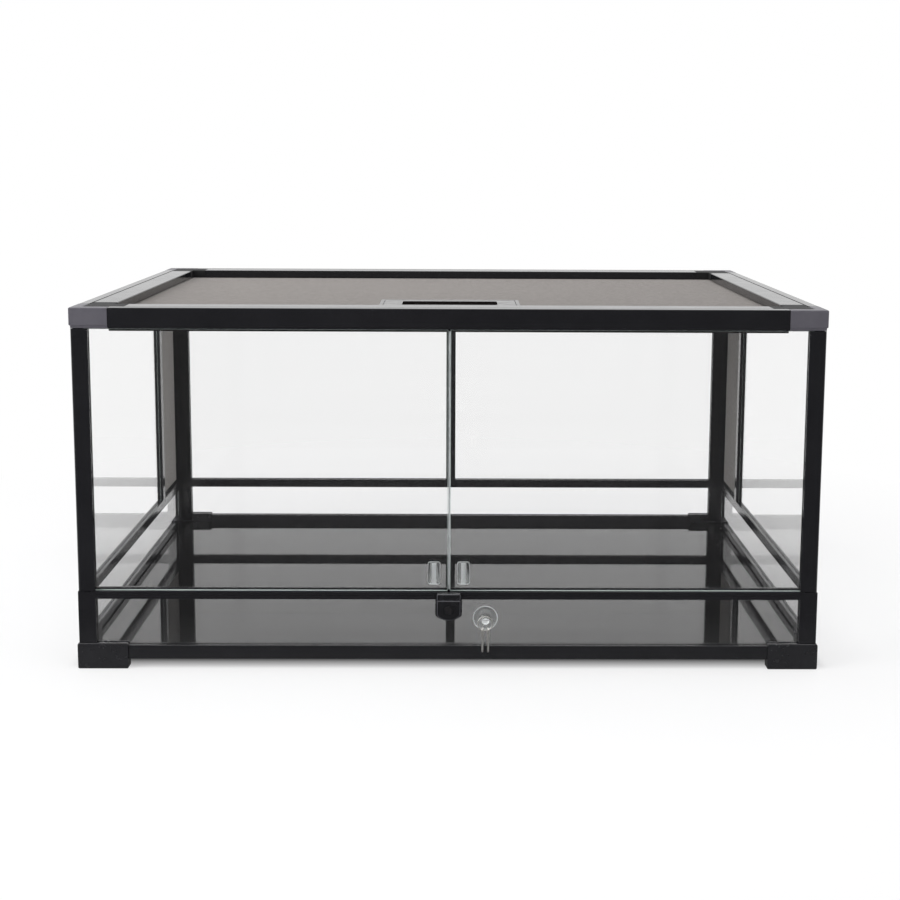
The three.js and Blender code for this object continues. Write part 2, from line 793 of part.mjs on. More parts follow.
const lidEndX = halfWidth - lidOuter;
const lidEndY = halfDepth - lidOuter;
const lidRailEndX = lidEndX - lidCornerLength;

// A side rail with the two corner pieces that turn onto the front and rear rails.
function lidSideGeometry(wall, side) {
  const rail = wallBar(wall, lidRail, -lidEndY, lidEndY);
  const ends = ['front', 'rear'];
  const turns = ends.map((end) => wallBar(end, lidRail, side * lidRailEndX, side * lidEndX));
  const groove = ends.map((end) => {
    const depth = walls[end].across(lidInner - screenGrip);
    const near = side * (halfWidth - lidInner + screenGrip);
    return block([near, depth, screenLow], [side * (lidRailEndX - overshoot), 0, screenHigh]);
  });
  return cut(join(rail, ...turns), ...groove);
}

add('lid_rail_front', wallBar('front', lidRail, -lidRailEndX, lidRailEndX), coatedAluminium());
add('lid_rail_rear', wallBar('rear', lidRail, -lidRailEndX, lidRailEndX), coatedAluminium());
add('lid_rail_left', lidSideGeometry('left', -1), coatedAluminium());
add('lid_rail_right', lidSideGeometry('right', 1), coatedAluminium());

const hatchFront = lidInner + seatGap - halfDepth;
const hatchRear = hatchFront + hatchDepth;
const hatchTop = frameHeight - hatchTopDrop;
const hatchBase = hatchTop - hatchHeight;
const hatchHalf = hatchWidth / 2;
const netSeat = screenThickness / 2 + seatGap;

// The lid's net, with its opening for the hatch.
function lidScreenGeometry() {
  const reach = screenGrip - seatGap;
  const rim = reach + wireWidth;
  const endX = halfWidth - lidInner + reach;
  const endY = halfDepth - lidInner + reach;
  const openingX = [-hatchHalf - seatGap, hatchHalf + seatGap];
  const openingY = [hatchFront - seatGap, hatchRear + seatGap];
  const along = netDirection(-endX, endX, lidScreenColumns, rim, openingX);
  const back = netDirection(-endY, endY, lidScreenRows, rim, openingY);
  const levels = [screenLevel - screenThickness / 2, screenLevel + screenThickness / 2];
  return latticeGeometry('z', [along.lines, back.lines, levels], (i, j) => (
    (along.inWire(i) || back.inWire(j)) && !(along.inExtra(i) && back.inExtra(j))
  ));
}
add('lid_screen', lidScreenGeometry(), screenWire());

// ---------------------------------------------------------------- feeding hatch

const hatchInnerFront = hatchFront + hatchWall;
const hatchInnerRear = hatchRear - hatchWall;
const hatchAxisY = hatchInnerRear - hatchGap - hatchPinRadius;
const hatchAxisZ = hatchTop - hatchDoorThickness / 2;
const hatchDoorHalf = hatchHalf - hatchWall - hatchGap;

function hatchFrameGeometry() {
  const middle = (hatchFront + hatchRear) / 2;
  const wall = draw(
    'z', roundedRectangle(0, middle, hatchWidth, hatchDepth, hatchCorner),
    hatchBase, hatchTop, { edge: hatchEdge, curveSteps: 3 },
  );
  const flange = block(
    [-hatchHalf - hatchFlange, hatchFront, screenLevel - netSeat - hatchFlangeThickness],
    [hatchHalf + hatchFlange, hatchRear + hatchFlange, screenLevel - netSeat],
  );
  const opening = block(
    [-hatchHalf + hatchWall, hatchInnerFront, hatchBase - overshoot],
    [hatchHalf - hatchWall, hatchInnerRear, hatchTop + overshoot],
  );
  const axis = [hatchAxisY, hatchAxisZ];
  const reach = hatchDoorHalf + pinLength / 2 + hatchGap + pinClearance;
  const bore = rod('x', axis, hatchPinRadius - pinClearance, -reach, reach, 12);
  return cut(join(wall, flange), opening, bore);
}

// The flap: a plate with a sunk tray, a scoop at each end of it, and its pins at the rear edge.
function hatchDoorGeometry() {
  const bottom = hatchTop - hatchDoorThickness;
  const plate = block(
    [-hatchDoorHalf, hatchInnerFront + hatchGap, bottom],
    [hatchDoorHalf, hatchAxisY, hatchTop],
  );
  const axis = [hatchAxisY, hatchAxisZ];
  const rearEdge = rod('x', axis, hatchDoorThickness / 2, -hatchDoorHalf, hatchDoorHalf, 12);
  const trayY = hatchInnerFront + hatchGap + trayFromFront + trayDepth / 2;
  const trayPlan = (inset) => roundedRectangle(
    0, trayY, trayWidth - 2 * inset, trayDepth - 2 * inset, trayCorner - inset,
  );
  const trayFloor = hatchTop - trayDrop;
  const curve = { curveSteps: 4 };
  const trayOuter = draw('z', trayPlan(0), trayFloor - trayWall, hatchTop - traySink, curve);
  const hollow = draw('z', trayPlan(trayWall), trayFloor, hatchTop + overshoot, curve);
  const scoopX = trayWidth / 2 - 2 * trayWall;
  const scoops = [-scoopX, scoopX].map((x) => (
    rod('z', [x, trayY], scoopRadius, trayFloor - trayWall / 2, hatchTop - trayDrop / 2, 10)
  ));
  const pinEnd = hatchDoorHalf + hatchGap + pinLength / 2;
  const pins = rod('x', axis, hatchPinRadius - 2 * pinClearance, -pinEnd, pinEnd, 12);
  return join(cut(join(plate, rearEdge, trayOuter), hollow), ...scoops, pins);
}

add('hatch_frame', hatchFrameGeometry(), hatchPlastic());
add('hatch_door', hatchDoorGeometry(), hatchPlastic());

// ---------------------------------------------------------------- cam lock

const lockFace = -lockProud - halfDepth;
const lockSeat = paneInset - seatGap - halfDepth;
const boltBack = -seatGap - halfDepth;
const stemBack = boltBack - boltStemInset;
const stemFront = stemBack - boltStemThickness;
const plugFront = lockFace - plugRim;
const plugBack = lockFace + plugLength;
const crankRadius = boltTravel / (2 * Math.sin(Math.PI / 4));
const boltTop = doorBase - doorClearance;

// The front outline: straight sides over a bulged foot.
function lockOutline(inset) {
  const half = lockWidth / 2 - inset;
  const low = lockBottom + inset;
  const radius = (half * half + lockBulge * lockBulge) / (2 * lockBulge);
  const spread = Math.asin(half / radius);
  const shape = new THREE.Shape();
  shape.absarc(0, low + radius, radius, -Math.PI / 2 - spread, -Math.PI / 2 + spread);
  shape.lineTo(half, lockTop);
  shape.lineTo(-half, lockTop);
  return shape;
}

function lockHousingGeometry() {
  const curve = { curveSteps: 10 };
  const rootY = -halfDepth - overshoot;
  const flange = draw('y', lockOutline(0), -halfDepth - lockFlangeThickness, -halfDepth, curve);
  const boss = draw('y', lockOutline(lockFlange), lockFace, rootY, { ...curve, edge: lockEdge });
  const foot = draw('y', lockOutline(lockFlange), rootY, lockSeat, curve);
  const sillClearance = block(
    [-lockWidth, -halfDepth, beltBottom - seatGap],
    [lockWidth, lockSeat + overshoot, lockTop + overshoot],
  );
  const bore = [plugRadius + pinClearance, lockFace - overshoot, plugBack + pinClearance];
  const plugBore = rod('y', [0, plugHeight], ...bore, 24);
  const stemHalf = boltStemWidth / 2 + pinClearance;
  const stemPocket = block(
    [-stemHalf, plugBack, lockTop - boltStemLength - pinClearance],
    [stemHalf, stemBack + pinClearance, lockTop + overshoot],
  );
  const shell = join(cut(join(flange, foot), sillClearance), boss);
  return cut(shell, plugBore, stemPocket);
}

// The bolt: the cap across the top of the housing, on a stem that the crank pin lifts.
function lockBoltGeometry() {
  const half = lockWidth / 2 - lockFlange;
  const low = lockTop + boltGap;
  const cap = draw(
    'y', roundedRectangle(0, (low + boltTop) / 2, 2 * half, boltTop - low, boltCorner),
    lockFace, boltBack, { edge: boltEdge, curveSteps: 3 },
  );
  const stem = block(
    [-boltStemWidth / 2, stemFront, lockTop - boltStemLength],
    [boltStemWidth / 2, stemBack, low + boltStemRoot],
  );
  const slotZ = plugHeight - crankRadius * Math.SQRT1_2;
  const slotHalf = crankPinRadius + pinClearance;
  const slotX = crankRadius * (1 + Math.SQRT1_2) / 2;
  const slot = draw(
    'y', roundedRectangle(slotX, slotZ, boltSlotWidth, 2 * slotHalf, slotHalf - hair),
    stemFront - overshoot, stemBack + overshoot, { curveSteps: 4 },
  );
  return cut(join(cap, stem), slot);
}

// The plug, with its keyhole in front and the crank pin behind.
function lockPlugGeometry() {
  const barrel = rod('y', [0, plugHeight], plugRadius, plugFront, plugBack, 24);
  const throwX = crankRadius * Math.SQRT1_2;
  const pinPlace = [throwX, plugHeight - throwX];
  const pin = rod('y', pinPlace, crankPinRadius, plugBack - overshoot, plugBack + crankPinLength, 10);
  const keyhole = block(
    [-keyholeWidth / 2, plugFront - overshoot, plugHeight - keyholeLength / 2],
    [keyholeWidth / 2, plugFront + keyholeDepth, plugHeight + keyholeLength / 2],
  );
  return cut(join(barrel, pin), keyhole);
}

add('lock_housing', lockHousingGeometry(), footPlastic());
add('lock_bolt', lockBoltGeometry(), footPlastic());
add('lock_plug', lockPlugGeometry(), nickel());

// ---------------------------------------------------------------- suction cup, ring and keys

// The cup is turned about the line that points at the viewer; x of the profile is the radius and
// y is the distance forward from the pane.
function suctionCupGeometry() {
  const knobBack = cupCrown + cupNeckLength;
  const knobFront = knobBack + cupKnobThickness;
  const profile = [
    ...cupProfile,
    [cupNeckRadius, cupCrown + cupKnobEdge], [cupNeckRadius, knobBack],
    [cupKnobRadius - cupKnobEdge, knobBack], [cupKnobRadius, knobBack + cupKnobEdge],
    [cupKnobRadius, knobFront - cupKnobEdge], [cupKnobRadius - cupKnobEdge, knobFront],
    [0, knobFront],
  ].map(([radius, forward]) => new THREE.Vector2(radius, forward));
  const cup = new THREE.LatheGeometry(profile, 32);
  cup.rotateX(Math.PI);
  cup.translate(cupOffset, lockSeat, cupHeight);
  return toGeometry(toSolid(cup));
}

const ringY = ringPlane - halfDepth;
const ringCentreZ = cupHeight + cupNeckRadius + seatGap + ringWire - ringRadius;

function keyRingGeometry() {
  const ring = new THREE.TorusGeometry(ringRadius, ringWire, 8, 32);
  ring.rotateX(Math.PI / 2);
  ring.translate(cupOffset, ringY, ringCentreZ);
  return toGeometry(toSolid(ring));
}

// Below the ring's centre, the keys' holes hang on the wire with the same gap as the other seats.
const keyFarFace = keySpread + keyThickness / 2;
const wireDrop = Math.sqrt(ringRadius ** 2 - keyFarFace ** 2);
const keyHang = wireDrop - ringWire - seatGap + keyHoleRadius;

// A flat key that hangs by its bow: drawn in its own plane, then turned edge-on to the ring.
function keyGeometry(side) {
  const top = keyHoleRadius + keyHoleRim;
  const shoulder = top - keyBowHeight;
  const tip = top - keyLength;
  const half = keyBladeWidth / 2;
  const bow = roundedRectangle(0, top - keyBowHeight / 2, keyBowWidth, keyBowHeight, keyBowCorner);
  const hole = circle([0, 0], keyHoleRadius, 16).map(([u, v]) => new THREE.Vector2(u, v));
  bow.holes.push(new THREE.Path(hole));
  const pitch = (shoulder - tip - keyBiteStart - keyBiteRoot) / keyBites.length;
  const bites = keyBites.flatMap((bite, tooth) => {
    const low = tip + keyBiteStart + tooth * pitch;
    const floor = half - bite;
    return [
      [half, low], [floor, low + 0.35 * pitch], [floor, low + 0.6 * pitch], [half, low + 0.9 * pitch],
    ];
  });
  const rootZ = shoulder + overshoot;
  const blade = [
    [-half, rootZ], [-half, tip + keyTipLength], [0, tip], [half, tip + keyTipLength],
    ...bites, [half, rootZ],
  ];
  const options = { curveSteps: 5 };
  const key = join(
    draw('z', bow, -keyThickness / 2, keyThickness / 2, options),
    draw('z', blade, -keyThickness / 2, keyThickness / 2, options),
  );
  key.rotateX(Math.PI / 2);
  key.rotateZ(Math.PI / 2 + side * keyTurn);
  key.translate(cupOffset + side * keySpread, ringY, ringCentreZ - keyHang);
  return key;
}

add('suction_cup', suctionCupGeometry(), clearPlastic());
add('key_ring', keyRingGeometry(), nickel());
add('key_left', keyGeometry(-1), nickel());
add('key_right', keyGeometry(1), nickel());

export default cabinet;
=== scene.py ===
import json
import math
import bpy
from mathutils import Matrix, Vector


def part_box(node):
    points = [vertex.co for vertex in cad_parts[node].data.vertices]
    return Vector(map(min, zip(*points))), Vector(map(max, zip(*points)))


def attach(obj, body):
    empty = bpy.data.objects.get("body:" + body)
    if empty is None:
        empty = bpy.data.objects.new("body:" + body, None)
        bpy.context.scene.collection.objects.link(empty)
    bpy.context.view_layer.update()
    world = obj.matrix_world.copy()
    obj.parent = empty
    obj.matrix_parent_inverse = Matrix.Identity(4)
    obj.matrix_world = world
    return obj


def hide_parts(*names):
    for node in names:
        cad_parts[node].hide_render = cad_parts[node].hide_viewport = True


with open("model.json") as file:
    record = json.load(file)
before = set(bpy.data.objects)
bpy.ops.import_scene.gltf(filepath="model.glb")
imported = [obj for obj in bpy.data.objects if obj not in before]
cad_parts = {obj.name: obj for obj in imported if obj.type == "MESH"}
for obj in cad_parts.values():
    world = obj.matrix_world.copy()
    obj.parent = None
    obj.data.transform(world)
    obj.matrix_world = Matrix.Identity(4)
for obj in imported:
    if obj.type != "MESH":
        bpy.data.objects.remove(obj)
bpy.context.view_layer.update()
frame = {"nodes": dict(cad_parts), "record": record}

print("frame loaded:", len(frame["nodes"]), "nodes")

# camera and studio

cameraSetup = {
    "place": (0.0075, -1.9635, 0.6293),
    "tilt": (82.503, -0.274, -0.523),   # degrees: down, roll, turn
    "lens": 55.73,                      # mm on a 36 mm sensor
    "shift": (-0.0213, -0.1203),
}

cameraData = bpy.data.cameras.new("photoCamera")
cameraData.lens = cameraSetup["lens"]
cameraData.sensor_width = 36
cameraData.sensor_fit = "HORIZONTAL"
cameraData.shift_x, cameraData.shift_y = cameraSetup["shift"]
cameraData.clip_end = 60
camera = bpy.data.objects.new("photoCamera", cameraData)
camera.location = cameraSetup["place"]
camera.rotation_euler = [math.radians(a) for a in cameraSetup["tilt"]]
bpy.context.scene.collection.objects.link(camera)
bpy.context.scene.camera = camera
bpy.context.scene.view_settings.view_transform = "Standard"


def deselectAll():
    if bpy.context.mode != "OBJECT":
        bpy.ops.object.mode_set(mode="OBJECT")
    bpy.ops.object.select_all(action="DESELECT")


def only(obj):
    deselectAll()
    obj.select_set(True)
    bpy.context.view_layer.objects.active = obj


def linear(hexColour):
    parts = [int(hexColour[i:i + 2], 16) / 255 for i in (1, 3, 5)]
    return [c / 12.92 if c <= 0.04045 else ((c + 0.055) / 1.055) ** 2.4 for c in parts] + [1.0]


def addNode(tree, kind, settings=None, **inputs):
    # settings are the node's own options, inputs are its sockets: a value, or another node's output
    node = tree.nodes.new(kind)
    for key, value in (settings or {}).items():
        setattr(node, key, value)
    for key, value in inputs.items():
        socket = node.inputs[int(key[1:]) if key[0] == "i" and key[1:].isdigit() else key.replace("_", " ")]
        if isinstance(value, bpy.types.NodeSocket):
            tree.links.new(value, socket)
        else:
            socket.default_value = value
    return node


def newMaterial(name):
    mat = bpy.data.materials.new(name)
    mat.use_nodes = True
    tree = mat.node_tree
    shader = tree.nodes["Principled BSDF"]
    return mat, tree, shader


def objectPoint(tree, stretch=(1, 1, 1)):
    # the surface's own place in millimetres, so pattern scales read as real sizes
    coords = addNode(tree, "ShaderNodeTexCoord")
    mapping = addNode(tree, "ShaderNodeMapping", Vector=coords.outputs["Object"])
    mapping.inputs["Scale"].default_value = [1000 * s for s in stretch]
    return mapping.outputs["Vector"]


def noise(tree, point, sizeMm, detail, rough=0.5):
    node = addNode(tree, "ShaderNodeTexNoise", Vector=point, Scale=1.0 / sizeMm, Detail=detail,
                   Roughness=rough)
    return node.outputs["Fac"]


def remap(tree, value, low, high, fromLow=0.3, fromHigh=0.7):
    node = addNode(tree, "ShaderNodeMapRange", Value=value)
    node.inputs["From Min"].default_value = fromLow
    node.inputs["From Max"].default_value = fromHigh
    node.inputs["To Min"].default_value = low
    node.inputs["To Max"].default_value = high
    return node.outputs["Result"]


def twoTone(tree, fac, dark, pale):
    node = addNode(tree, "ShaderNodeMix", {"data_type": "RGBA"}, i0=fac)
    node.inputs[6].default_value = linear(dark)
    node.inputs[7].default_value = linear(pale)
    return node.outputs[2]


def bump(tree, height, depthMm, strength=1.0):
    node = addNode(tree, "ShaderNodeBump", Height=height, Strength=strength, Distance=depthMm / 1000)
    return node.outputs["Normal"]


def mathNode(tree, operation, first, second):
    node = addNode(tree, "ShaderNodeMath", {"operation": operation}, i0=first, i1=second)
    return node.outputs[0]


studio = {
    "floorSize": 14.0,
    "floorPlace": (0, 2.0, 0),
    "floorWhite": "#f4f4f4",
    "nearGlow": 0.66,           # share of the floor that is plain white to the camera, beside the object
    "farGlow": 1.0,             # and out where it meets the backdrop
    "glowFrom": 0.66,           # metres from the middle where the change starts and ends
    "glowTo": 1.15,
    "besideX": (0.45, 0.475),   # under the object the floor has no glow, so that its shadow stays dark
    "beforeY": (0.262, 0.297),
    "clothY": (-0.5, 0.3),      # where the black cloth in front of the object ends
    "frontTone": 0.13,          # the darkened room in front, as reflections see it
    "sweepTone": 0.97,          # the pale sweep behind, as reflections see it
    "sweepY": (-0.35, 0.35),    # the turn from one to the other
    "skyWhite": 1.0,
    "roomTone": 0.55,           # what lights the sides of the object from all round
    "aim": (0, 0, 0.2),         # what the lamps face
    "lamps": {                  # place, size in metres, watts
        "topSoftBox": ((0, -0.2, 2.6), (3.0, 2.4), 42),
        "leftSoftBox": ((-2.6, -1.4, 1.5), (1.6, 1.6), 42),
        "rightSoftBox": ((2.6, -1.4, 1.5), (1.6, 1.6), 3),
    },
}


def makeWorld():
    world = bpy.data.worlds.new("studioRoom")
    bpy.context.scene.world = world
    world.use_nodes = True
    tree = world.node_tree
    tree.nodes.clear()
    light = addNode(tree, "ShaderNodeLightPath")
    seen = mathNode(tree, "MAXIMUM", light.outputs["Is Camera Ray"], light.outputs["Is Transmission Ray"])
    # reflections: a pale sweep behind the object, a dimmer room in front of it
    coords = addNode(tree, "ShaderNodeTexCoord")
    parts = addNode(tree, "ShaderNodeSeparateXYZ", Vector=coords.outputs["Generated"])
    behind = remap(tree, parts.outputs["Y"], studio["frontTone"], studio["sweepTone"], *studio["sweepY"])
    white = addNode(tree, "ShaderNodeBackground", Color=linear("#ffffff"), Strength=studio["skyWhite"])
    sweep = addNode(tree, "ShaderNodeBackground", Color=linear("#ffffff"), Strength=behind)
    room = addNode(tree, "ShaderNodeBackground", Color=linear("#fbfbff"), Strength=studio["roomTone"])
    lit = addNode(tree, "ShaderNodeMixShader", i0=light.outputs["Is Glossy Ray"],
                  i1=room.outputs[0], i2=sweep.outputs[0])
    mixed = addNode(tree, "ShaderNodeMixShader", i0=seen, i1=lit.outputs[0], i2=white.outputs[0])
    addNode(tree, "ShaderNodeOutputWorld", Surface=mixed.outputs[0])


def makeFloor():
    deselectAll()
    bpy.ops.mesh.primitive_plane_add(size=studio["floorSize"], location=studio["floorPlace"])
    floor = bpy.context.object
    floor.name = "studioFloor"
    bpy.ops.object.transform_apply(location=True)
    mat, tree, shader = newMaterial("paleStudioFloor")
    shader.inputs["Base Color"].default_value = linear(studio["floorWhite"])
    shader.inputs["Roughness"].default_value = 0.9
    shader.inputs["Specular IOR Level"].default_value = 0.1
    light = addNode(tree, "ShaderNodeLightPath")
    clear = mathNode(tree, "MAXIMUM", light.outputs["Is Camera Ray"], light.outputs["Is Transmission Ray"])
    coords = addNode(tree, "ShaderNodeTexCoord").outputs["Object"]
    away = addNode(tree, "ShaderNodeVectorMath", {"operation": "LENGTH"}, i0=coords)
    share = remap(tree, away.outputs["Value"], studio["nearGlow"], studio["farGlow"],
                  studio["glowFrom"], studio["glowTo"])
    flat = addNode(tree, "ShaderNodeVectorMath", {"operation": "ABSOLUTE"}, i0=coords)
    flat = addNode(tree, "ShaderNodeSeparateXYZ", Vector=flat.outputs["Vector"])
    beside = remap(tree, flat.outputs["X"], 0.0, 1.0, *studio["besideX"])
    before = remap(tree, flat.outputs["Y"], 0.0, 1.0, *studio["beforeY"])
    share = mathNode(tree, "MULTIPLY", mathNode(tree, "MAXIMUM", beside, before), share)
    share = mathNode(tree, "MULTIPLY", clear, share)
    glow = addNode(tree, "ShaderNodeEmission", Color=linear("#ffffff"), Strength=1.0)
    mixed = addNode(tree, "ShaderNodeMixShader", i0=share, i1=shader.outputs[0], i2=glow.outputs[0])
    # the front of the floor lies under black cloth, so the bars and panes have little to mirror
    place = addNode(tree, "ShaderNodeSeparateXYZ", Vector=coords)
    cloth = remap(tree, place.outputs["Y"], 1.0, 0.0, *studio["clothY"])
    cloth = mathNode(tree, "MULTIPLY", cloth, light.outputs["Is Glossy Ray"])
    dim = addNode(tree, "ShaderNodeEmission", Color=linear("#ffffff"), Strength=studio["frontTone"])
    both = addNode(tree, "ShaderNodeMixShader", i0=cloth, i1=mixed.outputs[0], i2=dim.outputs[0])
    tree.links.new(both.outputs[0], tree.nodes["Material Output"].inputs["Surface"])
    floor.data.materials.append(mat)


def softBox(name, place, size, power):
    data = bpy.data.lights.new(name, "AREA")
    data.shape = "RECTANGLE"
    data.size, data.size_y = size
    data.energy = power
    lamp = bpy.data.objects.new(name, data)
    lamp.location = place
    lamp.rotation_euler = (Vector(studio["aim"]) - Vector(place)).to_track_quat("-Z", "Y").to_euler()
    bpy.context.scene.collection.objects.link(lamp)


makeWorld()
makeFloor()
for lampName, lampSetup in studio["lamps"].items():
    softBox(lampName, *lampSetup)
print("studio ready")

# materials


def coatedAluminium(name, axis):
    # semi-gloss black powder coat on an extrusion: faint orange peel, and long die lines along the bar
    mat, tree, shader = newMaterial(name)
    along = {"x": (0.02, 1, 1), "y": (1, 0.02, 1), "z": (1, 1, 0.02)}[axis]
    peel = noise(tree, objectPoint(tree), 1.6, 3)
    lines = noise(tree, objectPoint(tree, stretch=along), 0.9, 2)
    dust = noise(tree, objectPoint(tree), 45, 4, 0.6)
    height = addNode(tree, "ShaderNodeMath", {"operation": "MULTIPLY_ADD"}, i0=lines, i1=0.35, i2=peel)
    colour = twoTone(tree, remap(tree, dust, 0, 1), "#17171a", "#1c1c1f")
    tree.links.new(colour, shader.inputs["Base Color"])
    tree.links.new(remap(tree, dust, 0.13, 0.18), shader.inputs["Roughness"])
    tree.links.new(bump(tree, height.outputs[0], 0.0016, 0.5), shader.inputs["Normal"])
    shader.inputs["IOR"].default_value = 1.5
    return mat


def mouldedPlastic(name, dark, pale, roughLow, roughHigh, grainMm=0.8, grainDepth=0.02):
    # spark-eroded moulding: an even fine grain, a little shinier where hands polish it
    mat, tree, shader = newMaterial(name)
    grain = noise(tree, objectPoint(tree), grainMm, 2)
    wear = noise(tree, objectPoint(tree), 14, 3, 0.6)
    tree.links.new(twoTone(tree, remap(tree, wear, 0, 1), dark, pale), shader.inputs["Base Color"])
    tree.links.new(remap(tree, wear, roughLow, roughHigh), shader.inputs["Roughness"])
    tree.links.new(bump(tree, grain, grainDepth, 0.7), shader.inputs["Normal"])
    shader.inputs["IOR"].default_value = 1.5
    return mat


def clearSolid(name, tint, ior, roughLow, roughHigh, smearMm):
    # clear and smooth, with faint smears; rays from the lamps pass, so that what is behind stays lit
    mat, tree, shader = newMaterial(name)
    shader.inputs["Base Color"].default_value = linear(tint)
    shader.inputs["Transmission Weight"].default_value = 1.0
    shader.inputs["IOR"].default_value = ior
    smear = noise(tree, objectPoint(tree), smearMm, 3, 0.6)
    tree.links.new(remap(tree, smear, roughLow, roughHigh), shader.inputs["Roughness"])
    light = addNode(tree, "ShaderNodeLightPath")
    open_ = addNode(tree, "ShaderNodeBsdfTransparent", Color=linear(tint))
    mixed = addNode(tree, "ShaderNodeMixShader", i0=light.outputs["Is Shadow Ray"],
                    i1=shader.outputs[0], i2=open_.outputs[0])
    tree.links.new(mixed.outputs[0], tree.nodes["Material Output"].inputs["Surface"])
    return mat


def groundEdge():
    # the arrissed edge of a pane: frosted, pale and slightly green
    mat, tree, shader = newMaterial("groundGlassEdge")
    grind = noise(tree, objectPoint(tree, stretch=(1, 1, 0.1)), 0.7, 3)
    tree.links.new(twoTone(tree, remap(tree, grind, 0, 1), "#a9b5b1", "#cfd8d5"), shader.inputs["Base Color"])
    tree.links.new(remap(tree, grind, 0.28, 0.45), shader.inputs["Roughness"])
    tree.links.new(bump(tree, grind, 0.02), shader.inputs["Normal"])
    shader.inputs["IOR"].default_value = 1.5
    return mat


def softStrip():
    # milky clear vinyl: it catches the light all along the edge of the door
    mat, tree, shader = newMaterial("clearDoorSealVinyl")
    haze = noise(tree, objectPoint(tree, stretch=(1, 1, 0.2)), 9, 3)
    tree.links.new(twoTone(tree, remap(tree, haze, 0, 1), "#b9bdbd", "#cfd3d3"), shader.inputs["Base Color"])
    tree.links.new(remap(tree, haze, 0.2, 0.34), shader.inputs["Roughness"])
    shader.inputs["Transmission Weight"].default_value = 0.3
    shader.inputs["IOR"].default_value = 1.53
    return mat


def glossFloor():
    # black high-gloss panel: a clean mirror at low angles with a trace of dust
    mat, tree, shader = newMaterial("blackGlossPanel")
    dust = noise(tree, objectPoint(tree), 30, 5, 0.65)
    tree.links.new(twoTone(tree, remap(tree, dust, 0, 1), "#070708", "#0c0c0d"), shader.inputs["Base Color"])
    tree.links.new(remap(tree, dust, 0.012, 0.03), shader.inputs["Roughness"])
    shader.inputs["IOR"].default_value = 1.5
    return mat


def netWire(name, dark, pale):
    # coated steel wire: satin, a little uneven where the coat pools at the crossings
    mat, tree, shader = newMaterial(name)
    pool = noise(tree, objectPoint(tree), 5, 3)
    tree.links.new(twoTone(tree, remap(tree, pool, 0, 1), dark, pale), shader.inputs["Base Color"])
    tree.links.new(remap(tree, pool, 0.38, 0.52), shader.inputs["Roughness"])
    shader.inputs["IOR"].default_value = 1.5
    return mat


def frostedWithPaintedHighlight(name, tint, tintPale, share):
    # the ribs, rims and slots of a clear moulding: finely textured, and painted pale so that they stand in
    # for the highlights of the clear plastic
    mat, tree, shader = newMaterial(name)
    grain = noise(tree, objectPoint(tree), 0.6, 3, 0.6)
    tree.links.new(twoTone(tree, remap(tree, grain, 0, 1), tint, tintPale), shader.inputs["Base Color"])
    tree.links.new(remap(tree, grain, 0.24, 0.42), shader.inputs["Roughness"])
    tree.links.new(bump(tree, grain, 0.02, 0.6), shader.inputs["Normal"])
    shader.inputs["Transmission Weight"].default_value = share
    shader.inputs["IOR"].default_value = 1.49
    return mat


def platedMetal(name, dark, pale, roughLow, roughHigh):
    # nickel plate over a stamped or turned blank: bright, with fine tumbling marks
    mat, tree, shader = newMaterial(name)
    marks = noise(tree, objectPoint(tree, stretch=(1, 1, 0.25)), 0.5, 4, 0.7)
    tree.links.new(twoTone(tree, remap(tree, marks, 0, 1), dark, pale), shader.inputs["Base Color"])
    tree.links.new(remap(tree, marks, roughLow, roughHigh), shader.inputs["Roughness"])
    tree.links.new(bump(tree, marks, 0.006, 0.5), shader.inputs["Normal"])
    shader.inputs["Metallic"].default_value = 1.0
    return mat


finishes = {
    "barX": coatedAluminium("blackCoatAlongX", "x"),
    "barY": coatedAluminium("blackCoatAlongY", "y"),
    "barZ": coatedAluminium("blackCoatUpright", "z"),
    "cap": mouldedPlastic("greyCapMoulding", "#58565d", "#5f5d64", 0.34, 0.44),
    "lidCorner": mouldedPlastic("blackLidCornerMoulding", "#121214", "#161618", 0.66, 0.78),
    "foot": mouldedPlastic("blackFootMoulding", "#1d1d20", "#222225", 0.22, 0.28),
    "lock": mouldedPlastic("blackLockMoulding", "#131316", "#1a1a1d", 0.2, 0.3, 0.6, 0.006),
    "hatch": mouldedPlastic("blackHatchMoulding", "#1d1a19", "#282423", 0.16, 0.24, 0.7, 0.004),
    "pane": clearSolid("clearFloatGlass", "#ffffff", 1.5, 0.0, 0.008, 60),
    "paneEdge": groundEdge(),
    "floor": glossFloor(),
    "lidWire": netWire("lidNetWire", "#827d79", "#938e8a"),
    "ventWire": netWire("ventNetWire", "#83807d", "#989592"),
    "pull": clearSolid("clearAcrylicPull", "#fbfefe", 1.49, 0.0, 0.02, 8),
    "cup": clearSolid("clearVinylCup", "#fcfefe", 1.5, 0.0, 0.02, 6),
    # pale frosted acrylic on the pull's ribs and sides: a fine grain, with a painted highlight in its pale
    # colour
    "pullRibHighlight": frostedWithPaintedHighlight("frostedAcrylicRibPaintedHighlight", "#e8eeee", "#fbfdfd", 0.68),
    # pale frosted vinyl on the cup's rim and knob front: a fine grain, with a painted highlight in its pale
    # colour
    "cupLipHighlight": frostedWithPaintedHighlight("frostedVinylLipPaintedHighlight", "#e4e8e8", "#f8fafa", 0.35),
    "strip": softStrip(),
    "nickel": platedMetal("nickelPlate", "#e6e4e0", "#f8f6f2", 0.28, 0.44),
    "darkNickel": platedMetal("blackNickelPlug", "#4b4a4d", "#6a696c", 0.2, 0.32),
    # a paler, glossier plastic for the lock's front edges: a painted highlight
    "lockEdgeHighlight": mouldedPlastic("lockEdgePaintedHighlight", "#3b3b3f", "#4c4c50", 0.12, 0.2, 0.6, 0.004),
}
print("materials ready:", len(finishes))

# shared steps

mergeWithin = 0.000002
flatWithin = math.radians(0.5)


